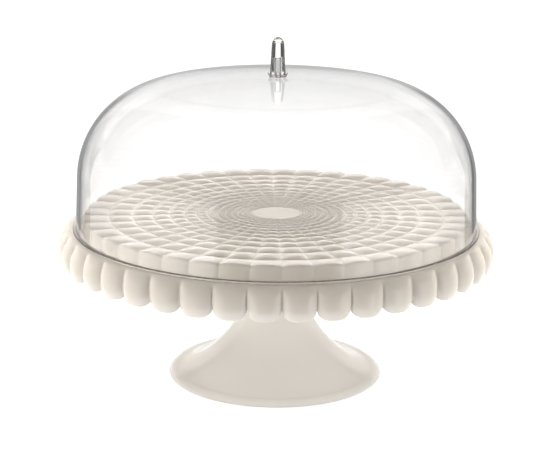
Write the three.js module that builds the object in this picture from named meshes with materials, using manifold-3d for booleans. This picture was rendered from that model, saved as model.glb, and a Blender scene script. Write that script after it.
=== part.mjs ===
// Cake stand with a clear dome lid. A scalloped plate screws onto a trumpet pedestal through a soft
// washer, and a bell-shaped dome stands on the plate's ledge, with a lift knob pinned to its crown.
// Millimetres, +Z up. The origin is on the floor, on the axis of the stand.

import * as THREE from 'three';
import { mergeVertices } from 'three/addons/utils/BufferGeometryUtils.js';
import Module from 'manifold-3d';

// ---------------------------------------------------------------- driving dimensions

// Clearance left between two pieces that touch.
const GAP = 0.3;

// Plate. Radii are over the crests of the scallops.
const SCALLOPS = 42;
const FACETS_PER_SCALLOP = 3;
const PLATE_RADIUS = 180;
const SKIRT_TIP_Z = 101;
const SKIRT_WALL = 2.7;
const SKIRT_STRAIGHT_TOP_Z = 113;
const SCALLOP_DEPTH = 6;
const NOTCH_HEIGHT = 7;
const LEDGE_Z = 127.3;
const LEDGE_RADIUS = 169;
const LEDGE_THICKNESS = 3;
const LEDGE_ARC_STEPS = 3;
const DAIS_RADIUS = 158.5;
const DAIS_Z = 137.3;
const DAIS_THICKNESS = 3.2;
const DAIS_FLUTE_DEPTH = 1.3;
const DAIS_EDGE = 2;
const PILLOW_HEIGHT = 2.4;
const PILLOW_EDGE = 2;
const PILLOW_RINGS = 2;
const RING_RADIUS = 137.6;
const RING_RATIO = 0.8622;

// Dome. The wall leans in a little, then turns through a shoulder arc into a shallow crown arc.
const DOME_SEGMENTS = 48;
const DOME_RADIUS = 165;
const DOME_WALL = 3;
const DOME_LEAN = 0.04;
const DOME_TOP_Z = 251.5;
const SHOULDER_RADIUS = 77;
const SHOULDER_STEPS = 7;
const CROWN_RADIUS = 710;
const CROWN_STEPS = 3;
const FLANGE_RADIUS = 167.6;
const FLANGE_THICKNESS = 1.3;
const PIN_HOLE_RADIUS = 1.9;

// Knob, and the straight pin inside it, which goes down through the crown's hole.
const PIN_RADIUS = 1.6;
const PIN_TOP_Z = 267;
const PIN_TIP_HEIGHT = 1;
const KNOB_SEGMENTS = 24;
const KNOB_TOP_Z = 283;
const KNOB_BASE_RADIUS = 6.4;
const KNOB_SHOULDER_RADIUS = 5.1;
const KNOB_SHOULDER_Z = 277;
const PETALS = 12;
const PETAL_RADIUS = 8.6;
const PETAL_HEIGHT = 3;
const PETAL_DEPTH = 1;
const PETAL_BEVEL = 1;
const PETAL_DROP = 0.7;
const TIP_STEPS = 5;
const BORE_CLEARANCE = 0.3;

// Pedestal.
const PEDESTAL_SEGMENTS = 48;
const FOOT_RADIUS = 89;
const FOOT_LIP_HEIGHT = 4.8;
const FOOT_LIP_WIDTH = 8;
const FOOT_RIM_WIDTH = 4;
const PEDESTAL_WALL = 3;
const WAIST_RADIUS = 25;
const WAIST_Z = 68;
const FLARE_POWER = 1.475;
const FLARE_STEPS = 9;
const LIP_STEPS = 3;
const COLLAR_RADIUS = 31;
const COLLAR_STEPS = 3;

// Joint between pedestal and plate: a three-start quick thread made of lugs.
const BOSS_RADIUS = 33;
const BOSS_Z = 116;
const SOCKET_RADIUS = 27.6;
const NECK_RADIUS = 25.4;
const NECK_TOP_Z = 132.4;
const WASHER_THICKNESS = 2;
const WASHER_MARGIN = 1;
const LUG_COUNT = 3;
const LUG_SPAN = THREE.MathUtils.degToRad(70);
const LUG_STEPS = 8;
const LUG_DEPTH = 1.6;
const LUG_ROOT = 0.6;
const LUG_HEIGHT = 2.5;
const LUG_CLEARANCE = 0.4;
const LUG_START_Z = 122.5;
const THREAD_LEAD = 24;

// ---------------------------------------------------------------- materials

const CREAM = 0xe9e0d5;
const CLEAR = 0xf3f6f6;
const SOFT_WHITE = 0xdcd8d0;

function material(color, roughness) {
  return new THREE.MeshStandardMaterial({ color, roughness, metalness: 0 });
}

// ---------------------------------------------------------------- shared geometry

// Turns a section of [radius, height] points round the Z axis.
function turned(section, segments) {
  const points = section.map(([radius, height]) => new THREE.Vector2(radius, height));
  return new THREE.LatheGeometry(points, segments).rotateX(Math.PI / 2);
}

// Turns a section of [radius, height, inward, upward] points. The last two numbers say how far the
// groove between two lobes lies inside and above the crest at that point of the section.
function lobed(section, lobes, facets) {
  const geometry = turned(section, lobes * facets);
  const position = geometry.attributes.position;
  for (let i = 0; i < position.count; i++) {
    const column = Math.floor(i / section.length);
    const [radius, height, inward = 0, upward = 0] = section[i % section.length];
    if (column % facets === 0 && radius > 0) {
      const shrink = (radius - inward) / radius;
      position.setXYZ(i, position.getX(i) * shrink, position.getY(i) * shrink, height + upward);
    }
  }
  return geometry;
}

// Points of an arc in the section plane, from one angle to another, both ends included. Angle 0 points
// outward and a quarter turn points up.
function arc(centreRadius, centreHeight, radius, from, to, steps) {
  return Array.from({ length: steps + 1 }, (_, i) => {
    const angle = from + ((to - from) * i) / steps;
    return [centreRadius + radius * Math.cos(angle), centreHeight + radius * Math.sin(angle)];
  });
}

// A quarter of an ellipse about a centre, from its outermost point up to its top.
function quarter(centreRadius, centreHeight, width, height, steps) {
  return arc(0, 0, 1, 0, Math.PI / 2, steps).map(([x, y]) => [
    centreRadius + width * x, centreHeight + height * y,
  ]);
}

// ---------------------------------------------------------------- booleans

const wasm = await Module();
wasm.setup();

function solidOf(geometry) {
  const bare = geometry.clone();
  bare.deleteAttribute('normal');
  bare.deleteAttribute('uv');
  const merged = mergeVertices(bare, 1e-4);
  const index = merged.index.array;
  const kept = [];
  for (let i = 0; i < index.length; i += 3) {
    const [a, b, c] = index.slice(i, i + 3);
    if (a !== b && b !== c && c !== a) {
      kept.push(a, b, c);
    }
  }
  return new wasm.Manifold(new wasm.Mesh({
    numProp: 3,
    vertProperties: new Float32Array(merged.attributes.position.array),
    triVerts: new Uint32Array(kept),
  }));
}

function geometryOf(solid) {
  const mesh = solid.getMesh();
  const geometry = new THREE.BufferGeometry();
  geometry.setAttribute('position', new THREE.BufferAttribute(mesh.vertProperties, 3));
  geometry.setIndex(new THREE.BufferAttribute(mesh.triVerts, 1));
  geometry.computeVertexNormals();
  return geometry;
}

function joined(geometry, additions) {
  return geometryOf(additions.reduce((solid, extra) => solid.add(solidOf(extra)), solidOf(geometry)));
}

// ---------------------------------------------------------------- thread lugs

// A bar bent round the axis and along the helix, between two radii, starting at an angle and height.
function threadLug(innerRadius, outerRadius, startAngle, startZ) {
  const geometry = new THREE.BoxGeometry(LUG_SPAN, outerRadius - innerRadius, LUG_HEIGHT, LUG_STEPS, 1, 1);
  const position = geometry.attributes.position;
  for (let i = 0; i < position.count; i++) {
    const along = position.getX(i) + LUG_SPAN / 2;
    const radius = (innerRadius + outerRadius) / 2 - position.getY(i);
    const rise = (THREAD_LEAD * along) / (2 * Math.PI);
    const angle = startAngle + along;
    const height = startZ + rise + LUG_HEIGHT / 2 + position.getZ(i);
    position.setXYZ(i, radius * Math.cos(angle), radius * Math.sin(angle), height);
  }
  return geometry;
}

function threadLugs(innerRadius, outerRadius, startZ) {
  return Array.from({ length: LUG_COUNT }, (_, i) => (
    threadLug(innerRadius, outerRadius, (i * 2 * Math.PI) / LUG_COUNT, startZ)
  ));
}

// ---------------------------------------------------------------- pedestal

// Radius of the trumpet's outside at a height, from the waist out to the lip of the foot.
function trumpetRadius(z) {
  const drop = (WAIST_Z - z) / (WAIST_Z - FOOT_LIP_HEIGHT);
  const reach = FOOT_RADIUS - FOOT_LIP_WIDTH - WAIST_RADIUS;
  return WAIST_RADIUS + reach * (1 - (1 - drop ** FLARE_POWER) ** (1 / FLARE_POWER));
}

function pedestal() {
  const lip = quarter(FOOT_RADIUS - FOOT_LIP_WIDTH, 0, FOOT_LIP_WIDTH, FOOT_LIP_HEIGHT, LIP_STEPS);
  const heights = Array.from({ length: FLARE_STEPS }, (_, i) => (
    FOOT_LIP_HEIGHT + (WAIST_Z - FOOT_LIP_HEIGHT) * ((i + 1) / FLARE_STEPS) ** 2
  ));
  const outside = heights.map((z) => [trumpetRadius(z), z]);
  const inside = heights.slice(1).map((z) => [trumpetRadius(z) - PEDESTAL_WALL, z - PEDESTAL_WALL]);
  const shoulderZ = BOSS_Z - WASHER_THICKNESS - 2 * GAP;
  const collar = Array.from({ length: COLLAR_STEPS }, (_, i) => {
    const climb = (i + 1) / COLLAR_STEPS;
    const radius = WAIST_RADIUS + (COLLAR_RADIUS - WAIST_RADIUS) * climb ** 2;
    return [radius, WAIST_Z + (shoulderZ - WAIST_Z) * climb];
  });
  const rimRadius = FOOT_RADIUS - FOOT_RIM_WIDTH;
  const section = [
    [0, NECK_TOP_Z - PEDESTAL_WALL],
    [WAIST_RADIUS - PEDESTAL_WALL, NECK_TOP_Z - PEDESTAL_WALL],
    ...inside.reverse(),
    [rimRadius, FOOT_LIP_HEIGHT - PEDESTAL_WALL],
    [rimRadius, 0],
    ...lip,
    ...outside,
    ...collar,
    [NECK_RADIUS, shoulderZ],
    [NECK_RADIUS, NECK_TOP_Z],
    [0, NECK_TOP_Z],
  ];
  const lugs = threadLugs(NECK_RADIUS - LUG_ROOT, NECK_RADIUS + LUG_DEPTH, LUG_START_Z);
  return joined(turned(section, PEDESTAL_SEGMENTS), lugs);
}

function seatWasher() {
  const bottom = BOSS_Z - WASHER_THICKNESS - GAP;
  const top = BOSS_Z - GAP;
  const inner = NECK_RADIUS + LUG_DEPTH + WASHER_MARGIN;
  const outer = BOSS_RADIUS - WASHER_MARGIN;
  const section = [[inner, bottom], [outer, bottom], [outer, top], [inner, top], [inner, bottom]];
  return turned(section, PEDESTAL_SEGMENTS);
}

// ---------------------------------------------------------------- plate

// Section points of one ring of pillows, from its outer groove to its inner one.
function pillowRing(outerRadius, innerRadius) {
  const height = PILLOW_HEIGHT * (outerRadius / DAIS_RADIUS);
  const crestZ = DAIS_Z + height;
  return [
    [outerRadius - PILLOW_EDGE, crestZ, 0, -height],
    [innerRadius + PILLOW_EDGE, crestZ, 0, -height],
    [innerRadius, DAIS_Z],
  ];
}

function plate() {
  const skirtInner = PLATE_RADIUS - SKIRT_WALL;
  const daisUnderZ = DAIS_Z - DAIS_THICKNESS;
  const ledgeUnderZ = LEDGE_Z - LEDGE_THICKNESS;
  const daisInner = DAIS_RADIUS - DAIS_THICKNESS;
  const reach = PLATE_RADIUS - LEDGE_RADIUS;
  const rise = LEDGE_Z - SKIRT_STRAIGHT_TOP_Z;
  const shoulder = quarter(LEDGE_RADIUS, SKIRT_STRAIGHT_TOP_Z, reach, rise, LEDGE_ARC_STEPS);
  const crestZ = DAIS_Z + PILLOW_HEIGHT / 2;
  const rings = Array.from({ length: PILLOW_RINGS }, (_, i) => (
    pillowRing(RING_RADIUS * RING_RATIO ** i, RING_RADIUS * RING_RATIO ** (i + 1))
  ));
  const section = [
    [0, daisUnderZ],
    [SOCKET_RADIUS, daisUnderZ],
    [SOCKET_RADIUS, BOSS_Z],
    [BOSS_RADIUS, BOSS_Z],
    [BOSS_RADIUS, daisUnderZ],
    [daisInner, daisUnderZ, DAIS_FLUTE_DEPTH],
    [daisInner, ledgeUnderZ, DAIS_FLUTE_DEPTH],
    [LEDGE_RADIUS, ledgeUnderZ],
    [skirtInner, SKIRT_STRAIGHT_TOP_Z, SCALLOP_DEPTH],
    [skirtInner, SKIRT_TIP_Z, SCALLOP_DEPTH, NOTCH_HEIGHT],
    [PLATE_RADIUS, SKIRT_TIP_Z, SCALLOP_DEPTH, NOTCH_HEIGHT],
    ...shoulder.map(([radius, z]) => [radius, z, (SCALLOP_DEPTH * (radius - LEDGE_RADIUS)) / reach]),
    [DAIS_RADIUS, LEDGE_Z, DAIS_FLUTE_DEPTH],
    [DAIS_RADIUS, DAIS_Z - DAIS_EDGE, DAIS_FLUTE_DEPTH],
    [DAIS_RADIUS - DAIS_EDGE, crestZ, DAIS_FLUTE_DEPTH, DAIS_Z - crestZ],
    ...pillowRing(DAIS_RADIUS - 2 * DAIS_EDGE, RING_RADIUS),
    ...rings.flat(),
    [0, DAIS_Z],
  ];
  const lugZ = LUG_START_Z - LUG_CLEARANCE - LUG_HEIGHT;
  const lugs = threadLugs(SOCKET_RADIUS - LUG_DEPTH, SOCKET_RADIUS + LUG_ROOT, lugZ);
  return joined(lobed(section, SCALLOPS, FACETS_PER_SCALLOP), lugs);
}

// ---------------------------------------------------------------- dome

// Section of the bell, a given distance inside its outer face, from the rim up to the pin's hole.
function bellSection(rimZ, inset) {
  const crownCentreZ = DOME_TOP_Z - CROWN_RADIUS;
  const [outward, upward] = [Math.cos(DOME_LEAN), Math.sin(DOME_LEAN)];
  const wallOffset = DOME_RADIUS * outward - SHOULDER_RADIUS - (crownCentreZ - LEDGE_Z) * upward;
  const alongWall = Math.sqrt((CROWN_RADIUS - SHOULDER_RADIUS) ** 2 - wallOffset ** 2);
  const centreRadius = wallOffset * outward - alongWall * upward;
  const centreZ = crownCentreZ + wallOffset * upward + alongWall * outward;
  const turn = Math.atan2(centreZ - crownCentreZ, centreRadius);
  const rimRadius = DOME_RADIUS - (rimZ - LEDGE_Z) * Math.tan(DOME_LEAN) - inset / outward;
  const holeAngle = Math.acos(PIN_HOLE_RADIUS / (CROWN_RADIUS - inset));
  return [
    [rimRadius, rimZ],
    ...arc(centreRadius, centreZ, SHOULDER_RADIUS - inset, DOME_LEAN, turn, SHOULDER_STEPS),
    ...arc(0, crownCentreZ, CROWN_RADIUS - inset, turn, holeAngle, CROWN_STEPS).slice(1),
  ];
}

function domeShell() {
  const rimZ = LEDGE_Z + GAP;
  const flangeTopZ = rimZ + FLANGE_THICKNESS;
  const inside = bellSection(rimZ, DOME_WALL).reverse();
  const section = [
    ...inside,
    [FLANGE_RADIUS, rimZ],
    [FLANGE_RADIUS, flangeTopZ],
    ...bellSection(flangeTopZ, 0),
    inside[0],
  ];
  return turned(section, DOME_SEGMENTS);
}

function knobPin() {
  const bottomZ = DOME_TOP_Z - DOME_WALL;
  const section = [
    [0, bottomZ],
    [PIN_RADIUS, bottomZ],
    [PIN_RADIUS, PIN_TOP_Z - PIN_TIP_HEIGHT],
    [PIN_RADIUS - PIN_TIP_HEIGHT, PIN_TOP_Z],
    [0, PIN_TOP_Z],
  ];
  return turned(section, KNOB_SEGMENTS);
}

function knob() {
  const bottomZ = DOME_TOP_Z + GAP;
  const boreRadius = PIN_RADIUS + BORE_CLEARANCE;
  const boreTopZ = PIN_TOP_Z + BORE_CLEARANCE;
  const petalTopZ = bottomZ + PETAL_HEIGHT;
  const tipHeight = KNOB_TOP_Z - KNOB_SHOULDER_Z;
  const tip = quarter(0, KNOB_SHOULDER_Z, KNOB_SHOULDER_RADIUS, tipHeight, TIP_STEPS);
  const section = [
    [0, boreTopZ],
    [boreRadius, boreTopZ],
    [boreRadius, bottomZ],
    [PETAL_RADIUS - PETAL_BEVEL, bottomZ, PETAL_DEPTH],
    [PETAL_RADIUS, petalTopZ, PETAL_DEPTH, -PETAL_DROP],
    [PETAL_RADIUS - PETAL_BEVEL, petalTopZ, PETAL_DEPTH, -PETAL_DROP],
    [KNOB_BASE_RADIUS, petalTopZ - PETAL_BEVEL],
    ...tip.slice(0, -1),
    [0, KNOB_TOP_Z],
  ];
  return lobed(section, PETALS, KNOB_SEGMENTS / PETALS);
}

// ---------------------------------------------------------------- assembly

function part(name, geometry, finish) {
  const mesh = new THREE.Mesh(geometry, finish);
  mesh.name = name;
  return mesh;
}

const stand = new THREE.Group();
stand.add(part('pedestal', pedestal(), material(CREAM, 0.25)));
stand.add(part('seat_washer', seatWasher(), material(SOFT_WHITE, 0.8)));
stand.add(part('plate', plate(), material(CREAM, 0.25)));

const lid = new THREE.Group();
lid.add(part('dome_shell', domeShell(), material(CLEAR, 0.05)));
lid.add(part('knob_pin', knobPin(), material(CLEAR, 0.05)));
lid.add(part('knob', knob(), material(CLEAR, 0.05)));
stand.add(lid);

export default stand;
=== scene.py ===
"""Looks of a cake stand with a clear dome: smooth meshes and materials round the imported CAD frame."""

import math

import bpy
import numpy as np
from mathutils import Matrix, Vector


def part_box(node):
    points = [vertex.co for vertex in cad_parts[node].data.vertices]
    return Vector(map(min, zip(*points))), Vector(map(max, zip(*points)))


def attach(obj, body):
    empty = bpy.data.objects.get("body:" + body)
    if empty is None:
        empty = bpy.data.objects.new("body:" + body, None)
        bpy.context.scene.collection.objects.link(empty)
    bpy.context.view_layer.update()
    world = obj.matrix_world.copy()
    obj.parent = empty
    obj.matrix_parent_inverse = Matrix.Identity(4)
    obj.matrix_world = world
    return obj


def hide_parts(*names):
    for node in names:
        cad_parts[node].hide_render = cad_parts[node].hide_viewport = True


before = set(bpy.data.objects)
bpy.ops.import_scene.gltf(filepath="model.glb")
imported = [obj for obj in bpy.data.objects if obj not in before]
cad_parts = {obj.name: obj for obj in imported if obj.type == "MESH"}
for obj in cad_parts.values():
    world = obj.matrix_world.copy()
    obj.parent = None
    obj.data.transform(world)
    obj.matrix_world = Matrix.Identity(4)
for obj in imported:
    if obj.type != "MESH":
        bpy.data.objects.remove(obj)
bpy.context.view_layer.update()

MM = 0.001
TAU = 2 * math.pi

# ---------------------------------------------------------------- sizes, in metres

PLATE_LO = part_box("plate")[0]
PEDESTAL_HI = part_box("pedestal")[1]
DOME_LO, DOME_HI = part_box("dome_shell")
KNOB_LO, KNOB_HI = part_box("knob")
PIN_LO, PIN_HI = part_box("knob_pin")
WASHER_LO, WASHER_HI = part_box("seat_washer")

# Gap between pieces that touch.
GAP = 0.3 * MM

# Plate: scalloped skirt, ledge for the dome, raised dais with rings of pillows, and socket for the neck.
SCALLOPS = 42
PLATE_RADIUS = 180 * MM
SKIRT_TIP_Z = PLATE_LO.z
SKIRT_WALL = 2.7 * MM
SKIRT_STRAIGHT_Z = SKIRT_TIP_Z + 11 * MM
SKIRT_TIP_INSET = 2 * MM
SCALLOP_DEPTH = 5.5 * MM
INNER_SCALLOP_DEPTH = SCALLOP_DEPTH * 0.9
LOBE_ARCH = 0.62
ARCH_STEPS = 14
NOTCH_HEIGHT = 8 * MM
LEDGE_Z = DOME_LO.z - GAP
LEDGE_RADIUS = 169 * MM
LEDGE_THICKNESS = 3 * MM
DAIS_RADIUS = 159 * MM
DAIS_Z = LEDGE_Z + 10 * MM
DAIS_RIM_WIDTH = 9 * MM
DAIS_THICKNESS = 3.2 * MM
FLUTE_DEPTH = 1.3 * MM
PILLOW_SLOPE = 0.1
PILLOW_STEEPENING = 0.11
GROOVE_SHARE = 0.9
GROOVE_FADING = 0.045
RIM_HEIGHT = 2.2 * MM
RIM_WAVE = 1.4 * MM
RING_RADIUS = 137.6 * MM
RING_RATIO = 0.8622
RING_COUNT = 13
DISC_RADIUS = RING_RADIUS * RING_RATIO ** RING_COUNT
DISC_HEIGHT = 0.3 * MM
BOSS_RADIUS = 33 * MM
BOSS_Z = WASHER_HI.z + GAP
SOCKET_RADIUS = 27.6 * MM

# Pedestal: foot with a lip, trumpet, waist, collar under the plate, and neck.
FOOT_RADIUS = PEDESTAL_HI.x
FOOT_LIP_HEIGHT = 4.8 * MM
FOOT_LIP_WIDTH = 8 * MM
FOOT_RIM_WIDTH = 4 * MM
PEDESTAL_WALL = 3 * MM
WAIST_RADIUS = 25 * MM
WAIST_Z = 68 * MM
FLARE_POWER = 1.475
COLLAR_RADIUS = 31 * MM
NECK_RADIUS = 25.4 * MM
NECK_TOP_Z = PEDESTAL_HI.z

# Dome: leaning wall, round shoulder and shallow crown, with a flange round the rim.
DOME_RADIUS = 165 * MM
DOME_LEAN = 0.04
DOME_WALL = 3 * MM
SHOULDER_RADIUS = 77 * MM
CROWN_RADIUS = 710 * MM
FLANGE_RADIUS = DOME_HI.x
FLANGE_THICKNESS = 1.3 * MM
PIN_HOLE_RADIUS = 1.9 * MM
PIN_RADIUS = 1.6 * MM

# Knob: bullet-shaped grip over a collar of petals.
KNOB_PETALS = 12
PETAL_RADIUS = 8.6 * MM
PETAL_HEIGHT = 3 * MM
PETAL_DEPTH = 1.4 * MM
GRIP_RADIUS = 6.4 * MM
TIP_RADIUS = 5.1 * MM
TIP_START_Z = 277 * MM
TIP_Z = KNOB_HI.z + 0.8 * MM

# Washer.
WASHER_INNER_RADIUS = 28 * MM
WASHER_OUTER_RADIUS = 32 * MM


# ---------------------------------------------------------------- meshes turned round the Z axis


def make_object(name, vertices, faces):
    """A smooth-shaded mesh object from arrays of vertices and quads or triangles."""
    mesh = bpy.data.meshes.new(name)
    mesh.from_pydata(vertices, [], faces)
    mesh.validate()
    mesh.shade_smooth()
    piece = bpy.data.objects.new(name, mesh)
    bpy.context.scene.collection.objects.link(piece)
    return piece


def skin(name, rows):
    """Closed surface through rows of points. A row of one point is a pole, and rows that start and end
    with full circles join up into a ring."""
    vertices, starts = [], []
    for row in rows:
        starts.append(len(vertices))
        vertices.extend(map(tuple, row))
    faces = []
    pairs = list(zip(range(len(rows) - 1), range(1, len(rows))))
    if len(rows[0]) > 1 and len(rows[-1]) > 1:
        pairs.append((len(rows) - 1, 0))
    for lower, upper in pairs:
        a, b = starts[lower], starts[upper]
        count = max(len(rows[lower]), len(rows[upper]))
        for i in range(count):
            j = (i + 1) % count
            if len(rows[lower]) == 1:
                faces.append((a, b + j, b + i))
            elif len(rows[upper]) == 1:
                faces.append((a + i, a + j, b))
            else:
                faces.append((a + i, a + j, b + j, b + i))
    return make_object(name, vertices, faces)


def circle_row(radius, height, angles):
    """Points of a circle round Z. Angle 0 faces -Y."""
    if radius < 1e-7:
        return np.array([[0.0, 0.0, height]])
    return np.stack([radius * np.sin(angles), -radius * np.cos(angles), np.full_like(angles, height)], 1)


def turned(name, section, columns):
    """A section of (radius, height) points turned round Z, material on its left side."""
    angles = np.arange(columns) * TAU / columns
    return skin(name, [circle_row(p[0], p[1], angles) for p in section])


def rounded(corners, steps=4):
    """Rounds the corners of a section. A corner is (point..., fillet): the last number is how far from
    the corner its curve starts and ends, and 0 keeps it sharp."""
    points = []
    for i, corner in enumerate(corners):
        here, fillet = np.array(corner[:-1]), corner[-1]
        if fillet == 0 or i in (0, len(corners) - 1):
            points.append(here)
            continue
        before, after = np.array(corners[i - 1][:-1]), np.array(corners[i + 1][:-1])
        start = here + (before - here) * min(fillet / np.linalg.norm((before - here)[:2]), 0.49)
        end = here + (after - here) * min(fillet / np.linalg.norm((after - here)[:2]), 0.49)
        for t in np.linspace(0, 1, steps + 1):
            points.append((1 - t) ** 2 * start + 2 * t * (1 - t) * here + t * t * end)
    return points


def arc(centre_radius, centre_height, radius, start, end, steps):
    """Points of an arc in the section plane, both ends included."""
    turn = np.linspace(start, end, steps + 1)
    return [(centre_radius + radius * math.cos(a), centre_height + radius * math.sin(a)) for a in turn]


# ---------------------------------------------------------------- plate

# Places of the columns of vertices across half a lobe, from its crest at 0 to the groove at 1.
HALF_LOBE = (0.25, 0.47, 0.65, 0.78, 0.87, 0.93)
ACROSS = np.array([-1, *(-x for x in reversed(HALF_LOBE)), 0, *HALF_LOBE])

# Places of the rows of vertices across a ring of pillows, from -1 in its outer groove to 1 in its inner
# one, and from the rim's crest at 0 down to the first ring's groove at 1.
WIDE_RINGS = 6
WIDE_RING = (-0.95, -0.85, -0.65, -0.3, 0.3, 0.65, 0.85, 0.95, 1)
NARROW_RING = (-0.88, -0.5, 0.5, 0.88, 1)
RIM_SLOPE = (0.3, 0.65, 0.84, 0.93, 1)

# Shapes across a lobe or a pillow, (power, root, share of flat groove): see swell().
SKIRT = (2.5, 0.7, 0.0)
SKIRT_TIP = (3.0, 0.5, 0.0)
FLUTE = (2.2, 0.9, 0.0)
PILLOW = (2.6, 1.0, 0.0)
PILLOW_ACROSS = (2.1, 1.0, 0.0)


def swell(position, shape):
    """Height of a lobe or pillow, from 0 in its grooves to 1 on its crest. position runs from -1 to 1."""
    power, root, flat = shape
    place = np.minimum(np.abs(position) / (1 - flat), 1)
    return (1 - place ** power) ** root


def lobed_rows(section):
    """Rows of a section of (radius, height, inward, upward, inward shape, upward shape) points. inward
    and upward say how far the grooves between two lobes lie inside and above the crest."""
    angles = ((np.arange(SCALLOPS)[:, None] + (ACROSS[None, :] + 1) / 2) * TAU / SCALLOPS).ravel()
    rows = []
    for radius, height, inward, upward, inward_shape, upward_shape in section:
        if radius < 1e-7:
            rows.append(np.array([[0.0, 0.0, height]]))
            continue
        r = radius - inward * np.tile(1 - swell(ACROSS, inward_shape), SCALLOPS)
        z = height + upward * np.tile(1 - swell(ACROSS, upward_shape), SCALLOPS)
        rows.append(np.stack([r * np.sin(angles), -r * np.cos(angles), z], 1))
    return rows


def pillow_section(outer, inner, slope, groove, places):
    """Section points of one ring of pillows, at places from -1 at its outer groove to 1 at its inner one.
    groove is the depth of the grooves between pillows of one ring, as a share of the pillow's height."""
    height = slope * (outer - inner)
    points = []
    for t in places:
        lift = height * float(swell(t, PILLOW))
        radius = (outer + inner) / 2 - t * (outer - inner) / 2
        points.append((radius, DAIS_Z + lift, 0, -lift * groove, PILLOW, PILLOW_ACROSS))
    return points


def shaped_corners(corners, steps=4):
    """rounded() for corners of (radius, height, inward, upward, shape, fillet)."""
    shapes = [(c[0], c[1], c[4]) for c in corners]
    points = rounded([(*c[:4], c[5]) for c in corners], steps)
    section = []
    for p in points:
        shape = min(shapes, key=lambda c: math.hypot(c[0] - p[0], c[1] - p[1]))[2]
        section.append((*p[:4], shape, SKIRT_TIP if shape == SKIRT else PILLOW))
    return section


def plate_rows():
    """The plate: socket and boss under it, skirt, ledge, dais and its rings of pillows."""
    under_z = DAIS_Z - DAIS_THICKNESS
    ledge_under_z = LEDGE_Z - LEDGE_THICKNESS
    dais_inner = DAIS_RADIUS - DAIS_THICKNESS
    skirt_inner = PLATE_RADIUS - SKIRT_WALL
    rim_inner = DAIS_RADIUS - DAIS_RIM_WIDTH
    crest_z = DAIS_Z + RIM_HEIGHT
    corners = [
        (0, under_z, 0, 0, SKIRT, 0),
        (SOCKET_RADIUS, under_z, 0, 0, SKIRT, 0.5 * MM),
        (SOCKET_RADIUS, BOSS_Z, 0, 0, SKIRT, 0.6 * MM),
        (BOSS_RADIUS, BOSS_Z, 0, 0, SKIRT, 0.8 * MM),
        (BOSS_RADIUS, under_z, 0, 0, SKIRT, 2 * MM),
        (dais_inner, under_z, FLUTE_DEPTH, 0, FLUTE, 1.5 * MM),
        (dais_inner, ledge_under_z, FLUTE_DEPTH, 0, FLUTE, 1 * MM),
        (LEDGE_RADIUS, ledge_under_z, 1 * MM, 0, SKIRT, 3 * MM),
        (skirt_inner, SKIRT_STRAIGHT_Z, INNER_SCALLOP_DEPTH, 0, SKIRT, 4 * MM),
        (skirt_inner - SKIRT_TIP_INSET, SKIRT_TIP_Z, INNER_SCALLOP_DEPTH, NOTCH_HEIGHT, SKIRT, 0.8 * MM),
        (PLATE_RADIUS - SKIRT_TIP_INSET, SKIRT_TIP_Z, SCALLOP_DEPTH, NOTCH_HEIGHT, SKIRT, 2 * MM),
        (PLATE_RADIUS, SKIRT_TIP_Z + 6.5 * MM, SCALLOP_DEPTH, NOTCH_HEIGHT * 0.55, SKIRT, 3 * MM),
        (PLATE_RADIUS, SKIRT_STRAIGHT_Z, SCALLOP_DEPTH, 0, SKIRT, 0),
    ]
    section = shaped_corners(corners, 3)[:-1]
    for x, y in arc(0, 0, 1, 0, math.pi / 2, ARCH_STEPS)[:-1]:
        span = min(1, math.acos(min(1, y)) / math.radians(90 * LOBE_ARCH))
        width = max(0.2, math.sqrt(1 - (1 - span) ** 2))
        section.append((
            LEDGE_RADIUS + (PLATE_RADIUS - LEDGE_RADIUS) * x,
            SKIRT_STRAIGHT_Z + (LEDGE_Z - SKIRT_STRAIGHT_Z) * y,
            SCALLOP_DEPTH * x ** 1.5,
            0,
            (*SKIRT[:2], 1 - width),
            PILLOW,
        ))
    section += shaped_corners([
        (LEDGE_RADIUS, LEDGE_Z, 0, 0, SKIRT, 0),
        (DAIS_RADIUS + 0.3 * MM, LEDGE_Z, FLUTE_DEPTH, 0, FLUTE, 0.3 * MM),
        (DAIS_RADIUS, crest_z, FLUTE_DEPTH, -RIM_WAVE, FLUTE, 2.6 * MM),
        (rim_inner, crest_z, 0, -RIM_WAVE, FLUTE, 0),
    ])
    for t in RIM_SLOPE:
        lift = float(swell(t, PILLOW))
        radius = rim_inner - t * (rim_inner - RING_RADIUS)
        section.append((radius, DAIS_Z + RIM_HEIGHT * lift, 0, -RIM_WAVE * lift, PILLOW, PILLOW))
    for ring in range(RING_COUNT):
        outer = RING_RADIUS * RING_RATIO ** ring
        slope = PILLOW_SLOPE * (1 + PILLOW_STEEPENING * ring)
        places = WIDE_RING if ring < WIDE_RINGS else NARROW_RING
        groove = GROOVE_SHARE - GROOVE_FADING * ring
        section += pillow_section(outer, outer * RING_RATIO, slope, groove, places)
    for radius, lift in (
        (DISC_RADIUS - 0.3 * MM, 0.2 * MM),
        (DISC_RADIUS - 0.6 * MM, DISC_HEIGHT),
        (DISC_RADIUS - 1.2 * MM, DISC_HEIGHT),
        (DISC_RADIUS - 2.5 * MM, DISC_HEIGHT),
        (DISC_RADIUS / 2, DISC_HEIGHT),
        (0, DISC_HEIGHT),
    ):
        section.append((radius, DAIS_Z + lift, 0, 0, PILLOW, PILLOW))
    return lobed_rows(section)


# ---------------------------------------------------------------- thread lugs

LUG_COUNT = 3
LUG_SPAN = math.radians(70)
LUG_STEPS = 24
LUG_HEIGHT = 2.5 * MM
LUG_DEPTH = 1.6 * MM
LUG_ROOT = 0.6 * MM
LUG_START_Z = 122.5 * MM
LUG_CLEARANCE = 0.4 * MM
LUG_FILLET = 0.5 * MM
THREAD_LEAD = 24 * MM


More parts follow.
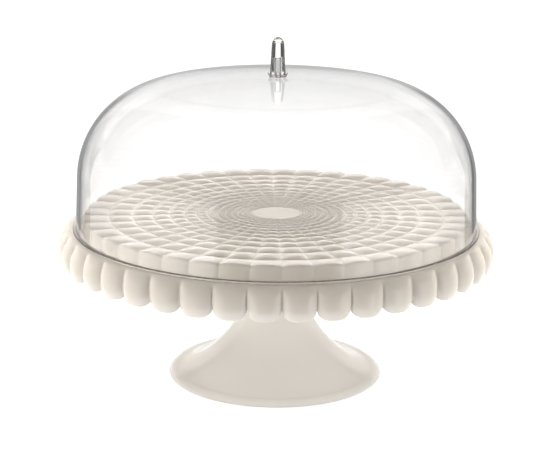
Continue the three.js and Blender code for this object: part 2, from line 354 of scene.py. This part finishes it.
def thread_lugs(name, inner, outer, start_z):
    """Bars of the three-start thread between two radii, bent along the helix, with eased corners."""
    corners = [(inner, 0), (outer, 0), (outer, LUG_HEIGHT), (inner, LUG_HEIGHT)]
    section = rounded([(*c, LUG_FILLET) for c in [corners[-1], *corners, corners[0]]], 3)[1:-1]
    count = len(section)
    vertices, faces = [], []
    for lug in range(LUG_COUNT):
        base = len(vertices)
        for step in range(LUG_STEPS + 1):
            along = LUG_SPAN * step / LUG_STEPS
            angle = lug * TAU / LUG_COUNT + along
            rise = THREAD_LEAD * along / TAU
            vertices += [(r * math.cos(angle), r * math.sin(angle), start_z + rise + z) for r, z in section]
        for step in range(LUG_STEPS):
            a, b = base + step * count, base + (step + 1) * count
            for i in range(count):
                j = (i + 1) % count
                faces.append((a + i, a + j, b + j, b + i))
        faces.append(tuple(range(base + count - 1, base - 1, -1)))
        faces.append(tuple(range(base + LUG_STEPS * count, base + (LUG_STEPS + 1) * count)))
    return make_object(name, vertices, faces)


# ---------------------------------------------------------------- pedestal


def trumpet_radius(z):
    """Outside radius of the trumpet from the waist out to the lip of the foot."""
    drop = (WAIST_Z - z) / (WAIST_Z - FOOT_LIP_HEIGHT)
    reach = FOOT_RADIUS - FOOT_LIP_WIDTH - WAIST_RADIUS
    return WAIST_RADIUS + reach * (1 - (1 - drop ** FLARE_POWER) ** (1 / FLARE_POWER))


def pedestal_section():
    """The pedestal from the hollow under its neck, down inside, round the foot and up to the neck."""
    shoulder_z = WASHER_LO.z - GAP
    rise = np.linspace(0, 1, 33)[1:] ** 2
    heights = FOOT_LIP_HEIGHT + (WAIST_Z - FOOT_LIP_HEIGHT) * rise
    outside = [(trumpet_radius(z), z) for z in heights]
    inside = [(r - PEDESTAL_WALL, z - PEDESTAL_WALL) for r, z in outside if z > 2.2 * FOOT_LIP_HEIGHT]
    climb = np.linspace(0, 1, 13)[1:]
    collar = [
        (WAIST_RADIUS + (COLLAR_RADIUS - WAIST_RADIUS) * c * c, WAIST_Z + (shoulder_z - WAIST_Z) * c)
        for c in climb
    ]
    lip = [
        (FOOT_RADIUS - FOOT_LIP_WIDTH + FOOT_LIP_WIDTH * x, FOOT_LIP_HEIGHT * y)
        for x, y in arc(0, 0, 1, 0, math.pi / 2, 12)
    ]
    rim = FOOT_RADIUS - FOOT_RIM_WIDTH
    start = [
        (0, NECK_TOP_Z - PEDESTAL_WALL, 0),
        (WAIST_RADIUS - PEDESTAL_WALL, NECK_TOP_Z - PEDESTAL_WALL, 1.5 * MM),
        (*inside[-1], 0),
    ]
    foot = [
        (*inside[0], 0),
        (rim, FOOT_LIP_HEIGHT - PEDESTAL_WALL, 0.8 * MM),
        (rim, 0, 0.5 * MM),
        (FOOT_RADIUS - 0.6 * MM, 0, 0.5 * MM),
        (*lip[1], 0),
    ]
    neck = [
        (*collar[-1], 0),
        (COLLAR_RADIUS, shoulder_z, 0.3 * MM),
        (NECK_RADIUS, shoulder_z, 0.4 * MM),
        (NECK_RADIUS, NECK_TOP_Z, 0.8 * MM),
        (0, NECK_TOP_Z, 0),
    ]
    return (
        rounded(start)[:-1] + inside[::-1][:-1] + rounded(foot)[:-1] + lip[1:] + outside
        + collar[:-1] + rounded(neck)
    )


# ---------------------------------------------------------------- dome, knob, pin and washer


def bell(rim_z, inset):
    """Section of the bell a given distance inside its outer face, from the rim up to the pin's hole."""
    crown_z = DOME_HI.z - CROWN_RADIUS
    out, up = math.cos(DOME_LEAN), math.sin(DOME_LEAN)
    offset = DOME_RADIUS * out - SHOULDER_RADIUS - (crown_z - LEDGE_Z) * up
    along = math.sqrt((CROWN_RADIUS - SHOULDER_RADIUS) ** 2 - offset ** 2)
    centre_r, centre_z = offset * out - along * up, crown_z + offset * up + along * out
    turn = math.atan2(centre_z - crown_z, centre_r)
    hole = math.acos(PIN_HOLE_RADIUS / (CROWN_RADIUS - inset))
    rim_r = DOME_RADIUS - (rim_z - LEDGE_Z) * math.tan(DOME_LEAN) - inset / out
    shoulder = arc(centre_r, centre_z, SHOULDER_RADIUS - inset, DOME_LEAN, turn, 40)
    wall = [(rim_r + (shoulder[0][0] - rim_r) * t, rim_z + (shoulder[0][1] - rim_z) * t)
            for t in np.linspace(0, 1, 13)[:-1]]
    return wall + shoulder + arc(0, crown_z, CROWN_RADIUS - inset, turn, hole, 20)[1:]


def dome_section():
    """The dome from its hole down inside, round the flange and up outside."""
    rim_z = DOME_LO.z
    flange_top = rim_z + FLANGE_THICKNESS
    inside = bell(rim_z, DOME_WALL)[::-1]
    outside = bell(flange_top, 0)
    foot = [
        (*inside[-2], 0),
        (*inside[-1], 0.4 * MM),
        (FLANGE_RADIUS, rim_z, 0.3 * MM),
        (FLANGE_RADIUS, flange_top, 0.3 * MM),
        (*outside[0], 0.3 * MM),
        (*outside[1], 0),
    ]
    return inside[:-1] + rounded(foot, 5)[1:-1] + outside[1:]


def pin_section():
    """The straight pin with a domed tip."""
    return rounded([
        (0, PIN_LO.z, 0),
        (PIN_RADIUS, PIN_LO.z, 0.2 * MM),
        (PIN_RADIUS, PIN_HI.z, 1 * MM),
        (0, PIN_HI.z, 0),
    ])


def washer_section():
    """The flat soft ring, with eased corners."""
    inner, outer = WASHER_INNER_RADIUS, WASHER_OUTER_RADIUS
    corners = [(inner, WASHER_LO.z), (outer, WASHER_LO.z), (outer, WASHER_HI.z), (inner, WASHER_HI.z)]
    padded = [corners[-1], *corners, corners[0]]
    return rounded([(*c, 0.5 * MM) for c in padded])[1:-1]


def knob_rows():
    """The knob: bore, petal collar and bullet-shaped grip."""
    bore_top = PIN_HI.z + GAP
    petal_z = KNOB_LO.z + PETAL_HEIGHT
    tip = []
    for a in np.linspace(0, math.pi / 2, 14)[:-1]:
        height = TIP_START_Z + (TIP_Z - TIP_START_Z) * math.sin(a) ** 0.95
        tip.append((TIP_RADIUS * math.cos(a) ** 0.85, height, 0))
    corners = [
        (0, bore_top, 0, 0),
        (PIN_HOLE_RADIUS, bore_top, 0, 1.1 * MM),
        (PIN_HOLE_RADIUS, KNOB_LO.z, 0, 0.3 * MM),
        (PETAL_RADIUS - 1.6 * MM, KNOB_LO.z, PETAL_DEPTH, 0.5 * MM),
        (PETAL_RADIUS, petal_z, PETAL_DEPTH, 0.5 * MM),
        (PETAL_RADIUS - 1.2 * MM, petal_z, PETAL_DEPTH, 0.4 * MM),
        (GRIP_RADIUS, petal_z - 1.4 * MM, 0, 0.5 * MM),
        (*tip[0], 0),
    ]
    section = rounded(corners)[:-1] + tip + [(0, TIP_Z, 0)]
    columns = KNOB_PETALS * 8
    angles = np.arange(columns) * TAU / columns
    groove = 1 - np.abs(np.sin(angles * KNOB_PETALS / 2)) ** 0.7
    rows = []
    for radius, height, depth in section:
        if radius < 1e-7:
            rows.append(np.array([[0.0, 0.0, height]]))
            continue
        r = radius - depth * groove
        z = height - 0.5 * depth * groove * (height > KNOB_LO.z + PETAL_HEIGHT / 2)
        rows.append(np.stack([r * np.sin(angles), -r * np.cos(angles), z], 1))
    return rows


# ---------------------------------------------------------------- materials


def node_material(name):
    """A new material with its nodes, links and shader."""
    material = bpy.data.materials.new(name)
    material.use_nodes = True
    nodes, links = material.node_tree.nodes, material.node_tree.links
    shader = nodes["Principled BSDF"]
    return material, nodes, links, shader


def add_noise(nodes, links, scale):
    """Noise in the object's own space, scale patches to a metre."""
    coordinates = nodes.new("ShaderNodeTexCoord")
    noise = nodes.new("ShaderNodeTexNoise")
    noise.inputs["Scale"].default_value = scale
    noise.inputs["Detail"].default_value = 2.0
    links.new(coordinates.outputs["Object"], noise.inputs["Vector"])
    return noise.outputs["Fac"]


def add_range(nodes, links, source, low, high):
    """A value from 0 to 1 spread over low to high."""
    span = nodes.new("ShaderNodeMapRange")
    span.inputs["To Min"].default_value = low
    span.inputs["To Max"].default_value = high
    links.new(source, span.inputs["Value"])
    return span.outputs["Result"]


def add_bump(nodes, links, source, shader, distance, strength):
    """Surface relief from a value from 0 to 1."""
    bump = nodes.new("ShaderNodeBump")
    bump.inputs["Distance"].default_value = distance
    bump.inputs["Strength"].default_value = strength
    links.new(source, bump.inputs["Height"])
    links.new(bump.outputs["Normal"], shader.inputs["Normal"])


def painted_disc_shade(nodes, links):
    """Share of painted shade on the top of the dais, on the disc and round it, where the pillows are so
    small that they shade each other; it fades out further from the centre.
    """
    coordinates = nodes.new("ShaderNodeTexCoord")
    flat = nodes.new("ShaderNodeVectorMath")
    flat.operation = "MULTIPLY"
    flat.inputs[1].default_value = (1, 1, 0)
    links.new(coordinates.outputs["Object"], flat.inputs[0])
    length = nodes.new("ShaderNodeVectorMath")
    length.operation = "LENGTH"
    links.new(flat.outputs["Vector"], length.inputs[0])
    top = nodes.new("ShaderNodeSeparateXYZ")
    links.new(coordinates.outputs["Object"], top.inputs["Vector"])
    share = None
    for source, start, end, low, high in (
        (length.outputs["Value"], DISC_RADIUS - 0.4 * MM, DISC_RADIUS + 1.2 * MM, 0.26, 0.36),
        (length.outputs["Value"], 2 * DISC_RADIUS, 5 * DISC_RADIUS, 1, 0),
        (top.outputs["Z"], DAIS_Z - 1 * MM, DAIS_Z - 0.5 * MM, 0, 1),
    ):
        ramp = nodes.new("ShaderNodeMapRange")
        ramp.interpolation_type = "SMOOTHSTEP"
        ramp.inputs["From Min"].default_value = start
        ramp.inputs["From Max"].default_value = end
        ramp.inputs["To Min"].default_value = low
        ramp.inputs["To Max"].default_value = high
        links.new(source, ramp.inputs["Value"])
        if share is None:
            share = ramp.outputs["Result"]
            continue
        product = nodes.new("ShaderNodeMath")
        product.operation = "MULTIPLY"
        links.new(share, product.inputs[0])
        links.new(ramp.outputs["Result"], product.inputs[1])
        share = product.outputs["Value"]
    return share


def cream_plastic():
    """Polished cream moulding: faint colour drift, slight flow marks, a soft orange-peel surface, and
    painted shade on the top of the dais round the disc.
    """
    material, nodes, links, shader = node_material("cream_plastic")
    drift = add_noise(nodes, links, 18)
    colour = nodes.new("ShaderNodeMix")
    colour.data_type = "RGBA"
    colour.inputs["A"].default_value = (0.80, 0.757, 0.700, 1)
    colour.inputs["B"].default_value = (0.82, 0.777, 0.720, 1)
    links.new(drift, colour.inputs["Factor"])
    # Painted shade: the cream is darkened on the disc and on the small pillows round it, on the top of the
    # dais.
    shade = nodes.new("ShaderNodeMix")
    shade.data_type = "RGBA"
    shade.blend_type = "MULTIPLY"
    shade.inputs["B"].default_value = (0.55, 0.55, 0.55, 1)
    links.new(painted_disc_shade(nodes, links), shade.inputs["Factor"])
    links.new(colour.outputs["Result"], shade.inputs["A"])
    links.new(shade.outputs["Result"], shader.inputs["Base Color"])
    links.new(add_range(nodes, links, add_noise(nodes, links, 60), 0.09, 0.14), shader.inputs["Roughness"])
    add_bump(nodes, links, add_noise(nodes, links, 220), shader, 0.02 * MM, 0.5)
    shader.inputs["IOR"].default_value = 1.5
    return material


def clear_acrylic():
    """Clear polished acrylic with a very slight waviness."""
    material, nodes, links, shader = node_material("clear_acrylic")
    shader.inputs["Base Color"].default_value = (0.995, 0.995, 0.995, 1)
    shader.inputs["Transmission Weight"].default_value = 1
    shader.inputs["IOR"].default_value = 1.49
    shader.inputs["Roughness"].default_value = 0
    add_bump(nodes, links, add_noise(nodes, links, 14), shader, 0.02 * MM, 0.4)
    return material


def soft_washer():
    """Matt translucent elastomer."""
    material, nodes, links, shader = node_material("soft_washer")
    shade = nodes.new("ShaderNodeMix")
    shade.data_type = "RGBA"
    shade.inputs["A"].default_value = (0.66, 0.63, 0.57, 1)
    shade.inputs["B"].default_value = (0.74, 0.71, 0.65, 1)
    links.new(add_noise(nodes, links, 120), shade.inputs["Factor"])
    links.new(shade.outputs["Result"], shader.inputs["Base Color"])
    shader.inputs["Roughness"].default_value = 0.7
    add_bump(nodes, links, add_noise(nodes, links, 900), shader, 0.05 * MM, 0.6)
    return material


# ---------------------------------------------------------------- pieces


def finish_piece(piece, material, body, node):
    """Gives a piece its material and body, and lets it stand for a CAD node."""
    piece.data.materials.append(material)
    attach(piece, body)
    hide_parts(node)


CREAM, CLEAR, SOFT = cream_plastic(), clear_acrylic(), soft_washer()

plate = skin("textured_plate", plate_rows())
pedestal = turned("trumpet_pedestal", pedestal_section(), 192)
socket_start_z = LUG_START_Z - LUG_CLEARANCE - LUG_HEIGHT
finish_piece(plate, CREAM, "plate", "plate")
finish_piece(pedestal, CREAM, "pedestal", "pedestal")
socket_lugs = thread_lugs(
    "socket_lugs", SOCKET_RADIUS - LUG_DEPTH, SOCKET_RADIUS + LUG_ROOT, socket_start_z,
)
finish_piece(socket_lugs, CREAM, "plate", "plate")
neck_lugs = thread_lugs("neck_lugs", NECK_RADIUS - LUG_ROOT, NECK_RADIUS + LUG_DEPTH, LUG_START_Z)
finish_piece(neck_lugs, CREAM, "pedestal", "pedestal")
finish_piece(turned("soft_seat_ring", washer_section(), 96), SOFT, "washer", "seat_washer")
finish_piece(turned("bell_dome", dome_section(), 288), CLEAR, "lid", "dome_shell")
finish_piece(turned("clear_pin", pin_section(), 64), CLEAR, "lid", "knob_pin")
finish_piece(skin("lift_knob", knob_rows()), CLEAR, "lid", "knob")

# The clear pieces throw no shadow, and soft light passes them by.
for name in ("bell_dome", "clear_pin", "lift_knob"):
    bpy.data.objects[name].visible_diffuse = False
    bpy.data.objects[name].visible_shadow = False

# ---------------------------------------------------------------- studio

CAMERA_DISTANCE = 1363.7 * MM
CAMERA_HEIGHT = 498.6 * MM
CAMERA_TURN = -0.0287
CAMERA_PITCH = 0.2662
CAMERA_ROLL = 0.0104
CAMERA_LENS = 111.6
CAMERA_SHIFT = (-0.0022, 0.0009)


def add_camera():
    """The camera, in front of the stand and a little above it."""
    camera = bpy.data.objects.new("camera", bpy.data.cameras.new("camera"))
    bpy.context.scene.collection.objects.link(camera)
    camera.data.lens = CAMERA_LENS
    camera.data.shift_x, camera.data.shift_y = CAMERA_SHIFT
    place = Vector((0, -CAMERA_DISTANCE, CAMERA_HEIGHT))
    stance = Matrix.Translation(place) @ Matrix.Rotation(math.pi / 2 - CAMERA_PITCH, 4, "X")
    roll = Matrix.Rotation(CAMERA_ROLL, 4, "Z")
    camera.matrix_world = Matrix.Rotation(CAMERA_TURN, 4, "Z") @ stance @ roll
    bpy.context.scene.camera = camera


FLOOR_RADIUS = 420 * MM
FLOOR_THICKNESS = 10 * MM


def add_floor():
    """A pale disc that glows more towards its edge, where the white of the backdrop goes on. Soft light
    doesn't see it."""
    section = [(0, -FLOOR_THICKNESS), (FLOOR_RADIUS, -FLOOR_THICKNESS), (FLOOR_RADIUS, 0), (0, 0)]
    floor = turned("floor", section, 128)
    material, nodes, links, shader = node_material("pale_floor")
    shader.inputs["Base Color"].default_value = (0.3, 0.3, 0.3, 1)
    shader.inputs["Roughness"].default_value = 0.8
    shader.inputs["Emission Color"].default_value = (1, 1, 1, 1)
    coordinates = nodes.new("ShaderNodeTexCoord")
    length = nodes.new("ShaderNodeVectorMath")
    length.operation = "LENGTH"
    links.new(coordinates.outputs["Object"], length.inputs[0])
    glow = nodes.new("ShaderNodeMapRange")
    glow.interpolation_type = "SMOOTHSTEP"
    glow.inputs["From Min"].default_value = 0.08
    glow.inputs["From Max"].default_value = 0.32
    glow.inputs["To Min"].default_value = 0.78
    glow.inputs["To Max"].default_value = 1.1
    links.new(length.outputs["Value"], glow.inputs["Value"])
    links.new(glow.outputs["Result"], shader.inputs["Emission Strength"])
    floor.data.materials.append(material)
    floor.visible_diffuse = False


class StudioSky:
    """World shader of a studio for glassware, with its own levels for each kind of ray. Azimuth 0 is the
    side that the main camera looks from, and levels are relative to white paper."""

    FRONT, SOFTBOX, GAP, BACK, BACKDROP, CEILING = 0.12, 1.5, 0.38, 0.6, 1.16, 0.6
    AMBIENT, ZENITH, RING, RING_LEFT, KEY, BELOW = 0.21, 0.12, 4.0, 4.3, 9.4, 0.33
    SHEEN, STRIP, FILL = 1.2, 3.0, 0.34
    BLACK, DIM, UPPER_GLOSS = 0.03, 0.3, 0.12
    SIDE = (33, 37)
    REAR = (80, 100)

    def __init__(self):
        world = bpy.data.worlds.new("studio")
        world.use_nodes = True
        bpy.context.scene.world = world
        self.nodes, self.links = world.node_tree.nodes, world.node_tree.links
        self.background = self.nodes["Background"]
        coordinates = self.nodes.new("ShaderNodeTexCoord")
        split = self.nodes.new("ShaderNodeSeparateXYZ")
        self.links.new(coordinates.outputs["Generated"], split.inputs["Vector"])
        x, y, z = split.outputs
        turn = self.math("ARCTAN2", x, self.math("MULTIPLY", y, -1.0))
        self.turn = self.math("MULTIPLY", turn, 180 / math.pi)
        self.azimuth = self.math("ABSOLUTE", self.turn)
        self.elevation = self.math("MULTIPLY", self.math("ARCSINE", z), 180 / math.pi)

    def math(self, operation, a, b=0.0):
        """A math node on values or sockets."""
        node = self.nodes.new("ShaderNodeMath")
        node.operation = operation
        for socket, value in zip(node.inputs, (a, b)):
            if isinstance(value, (int, float)):
                socket.default_value = value
            else:
                self.links.new(value, socket)
        return node.outputs[0]

    def step(self, value, start, end):
        """Smooth step from 0 at start to 1 at end."""
        node = self.nodes.new("ShaderNodeMapRange")
        node.interpolation_type = "SMOOTHSTEP"
        node.inputs["From Min"].default_value = min(start, end)
        node.inputs["From Max"].default_value = max(start, end)
        if start > end:
            node.inputs["To Min"].default_value, node.inputs["To Max"].default_value = 1, 0
        self.links.new(value, node.inputs["Value"])
        return node.outputs["Result"]

    def blend(self, share, a, b):
        """a where share is 0 and b where it is 1."""
        node = self.nodes.new("ShaderNodeMix")
        for name, value in (("Factor", share), ("A", a), ("B", b)):
            if isinstance(value, (int, float)):
                node.inputs[name].default_value = value
            else:
                self.links.new(value, node.inputs[name])
        return node.outputs["Result"]

    def panels(self):
        """What the clear pieces mirror: side softboxes, with dark gaps that draw the edges of the dome."""
        side = self.math("MULTIPLY", self.step(self.azimuth, *self.SIDE), self.step(self.azimuth, 134, 131))
        light = self.blend(side, self.FRONT, self.SOFTBOX)
        rear = self.blend(self.step(self.azimuth, 166, 172), self.GAP, self.BACK)
        light = self.blend(self.step(self.azimuth, 132, 136), light, rear)
        return self.blend(self.step(self.elevation, 5, 14), light, self.CEILING)

    def through(self, panels, depth):
        """What is seen through the clear pieces: white backdrops. Rays that only cross an edge or the knob
        also meet black flags between eight directions, which draw dark edges on the acrylic."""
        sector = self.math("PINGPONG", self.math("ADD", self.turn, 1.5), 22.5)
        flag = self.step(sector, 14.5, 16.5)
        flag = self.math("MAXIMUM", flag, self.step(self.elevation, 14, 20))
        flag = self.math("MAXIMUM", flag, self.step(self.elevation, -36, -40))
        beside = self.math("MULTIPLY", self.step(self.azimuth, 72, 76), self.step(self.azimuth, 162, 159))
        level = self.step(self.elevation, -17, -16)
        level = self.math("MULTIPLY", level, self.step(self.elevation, -6, -7))
        beside = self.math("MULTIPLY", beside, level)
        dark = self.blend(self.step(self.azimuth, *self.REAR), self.DIM, self.BLACK)
        edge = self.blend(flag, self.BACKDROP, dark)
        open_view = self.blend(self.step(self.elevation, 8, 14), self.BACKDROP, panels)
        seen = self.blend(self.step(depth, 2.8, 2.2), open_view, edge)
        return self.blend(beside, seen, self.BLACK)

    def gloss(self):
        """What the plastic mirrors."""
        light = self.blend(self.step(self.azimuth, *self.SIDE), self.FRONT, self.SHEEN)
        strip = self.math("MULTIPLY", self.step(self.turn, 46, 48), self.step(self.turn, 60, 58))
        light = self.blend(strip, light, self.STRIP)
        return self.blend(self.step(self.elevation, 20, 28), light, self.UPPER_GLOSS)

    def soft(self):
        """What lights the plastic: a low ring of softboxes and a key light behind the stand."""
        ring = self.blend(self.step(self.turn, 38, 62), self.AMBIENT, self.RING)
        ring = self.blend(self.step(self.turn, -24, -36), ring, self.RING_LEFT)
        light = self.blend(self.step(self.azimuth, 28, 38), self.AMBIENT, ring)
        upper = self.blend(self.step(self.azimuth, 75, 55), self.ZENITH, self.FILL)
        upper = self.blend(self.step(self.elevation, 65, 80), upper, self.ZENITH)
        light = self.blend(self.step(self.elevation, 16, 24), light, upper)
        band = self.math("MULTIPLY", self.step(self.elevation, 7, 12), self.step(self.elevation, 34, 28))
        key = self.math("MULTIPLY", band, self.step(self.azimuth, 114, 122))
        light = self.blend(key, light, self.KEY)
        return self.blend(self.step(self.elevation, 0, -8), light, self.BELOW)

    def build(self):
        """Sorts the rays: soft light, mirrored light, rays through the acrylic, and the camera's own."""
        rays = self.nodes.new("ShaderNodeLightPath").outputs
        walls = rays["Transmission Depth"]
        singular = rays["Is Singular Ray"]
        transmitted = rays["Is Transmission Ray"]
        panels = self.panels()
        mirrored = self.step(rays["Glossy Depth"], 0.2, 0.8)
        deep = self.math("MULTIPLY", mirrored, self.step(walls, 3.2, 3.8))
        through = self.through(panels, walls)
        seen = self.blend(mirrored, through, self.blend(deep, panels, self.gloss()))

        # Black flags that only rays off or inside the knob meet.
        off_knob = self.math("MULTIPLY", singular, self.step(walls, 1.2, 1.8))
        off_knob = self.math("MULTIPLY", off_knob, self.step(self.azimuth, 97, 105))
        off_knob = self.math("MULTIPLY", off_knob, self.step(self.elevation, -20, -18))
        in_knob = self.math("MULTIPLY", transmitted, self.step(walls, 4.2, 4.8))
        flagged = self.math("MAXIMUM", off_knob, in_knob)
        flagged = self.math("MULTIPLY", flagged, self.step(self.azimuth, 158, 154))

        light = self.blend(singular, self.gloss(), panels)
        light = self.blend(transmitted, light, seen)
        light = self.blend(flagged, light, self.BLACK)
        light = self.blend(rays["Is Diffuse Ray"], light, self.soft())
        light = self.blend(rays["Is Camera Ray"], light, self.BACKDROP)
        self.links.new(light, self.background.inputs["Strength"])

        # Warm light on the plastic, and neutral light on and through the clear pieces.
        tint = self.nodes.new("ShaderNodeMix")
        tint.data_type = "RGBA"
        through = self.math("MULTIPLY", transmitted, self.step(self.azimuth, *self.REAR))
        clear = self.math("MULTIPLY", singular, self.step(self.azimuth, *self.SIDE))
        clear = self.math("MAXIMUM", self.math("MAXIMUM", clear, through), rays["Is Camera Ray"])
        self.links.new(clear, tint.inputs["Factor"])
        tint.inputs["A"].default_value = (1, 0.953, 0.893, 1)
        tint.inputs["B"].default_value = (1, 1, 1, 1)
        self.links.new(tint.outputs["Result"], self.background.inputs["Color"])


def add_card(name, card, strength):
    """Turns a piece into a glowing card that only soft light sees."""
    material, _, _, shader = node_material(name)
    shader.inputs["Base Color"].default_value = (0.02, 0.02, 0.02, 1)
    shader.inputs["Roughness"].default_value = 1
    shader.inputs["Emission Color"].default_value = (0.975, 1, 1.02, 1)
    shader.inputs["Emission Strength"].default_value = strength
    card.data.materials.append(material)
    card.visible_camera = card.visible_glossy = card.visible_transmission = False


# Sections of the cards, in metres. The back card spans an arc behind the skirt and tapers to its ends.
SURROUND = [(0.196, -0.003), (0.2, -0.003), (0.2, 0.088), (0.196, 0.088)]
BACK_CARD_INNER, BACK_CARD_OUTER = 0.19, 0.193
BACK_CARD_FOOT, BACK_CARD_TOP = 0.088, 0.1405
BACK_CARD_HALF_ARC = 80
BACK_CARD_TAPER = 25


def back_card():
    """A card behind the skirt, which keeps the key light off it."""
    turns = np.radians(np.linspace(-BACK_CARD_HALF_ARC, BACK_CARD_HALF_ARC, 65))
    height = BACK_CARD_TOP - BACK_CARD_FOOT
    taper = np.clip((BACK_CARD_HALF_ARC - np.abs(np.degrees(turns))) / BACK_CARD_TAPER, 0.02, 1)
    count = len(turns)
    vertices = []
    for radius, share in (
        (BACK_CARD_INNER, 0), (BACK_CARD_OUTER, 0), (BACK_CARD_OUTER, 1), (BACK_CARD_INNER, 1),
    ):
        heights = BACK_CARD_FOOT + share * height * taper
        vertices += [(radius * math.sin(a), radius * math.cos(a), h) for a, h in zip(turns, heights)]
    faces = [
        (r * count + i, r * count + i + 1, (r + 1) % 4 * count + i + 1, (r + 1) % 4 * count + i)
        for r in range(4) for i in range(count - 1)
    ]
    return make_object("back_card", vertices, faces)


add_card("surround_card", turned("surround", SURROUND, 96), 1.5)
add_card("back_card", back_card(), 0.8)
add_camera()
add_floor()
StudioSky().build()
bpy.context.scene.view_settings.view_transform = "Standard"
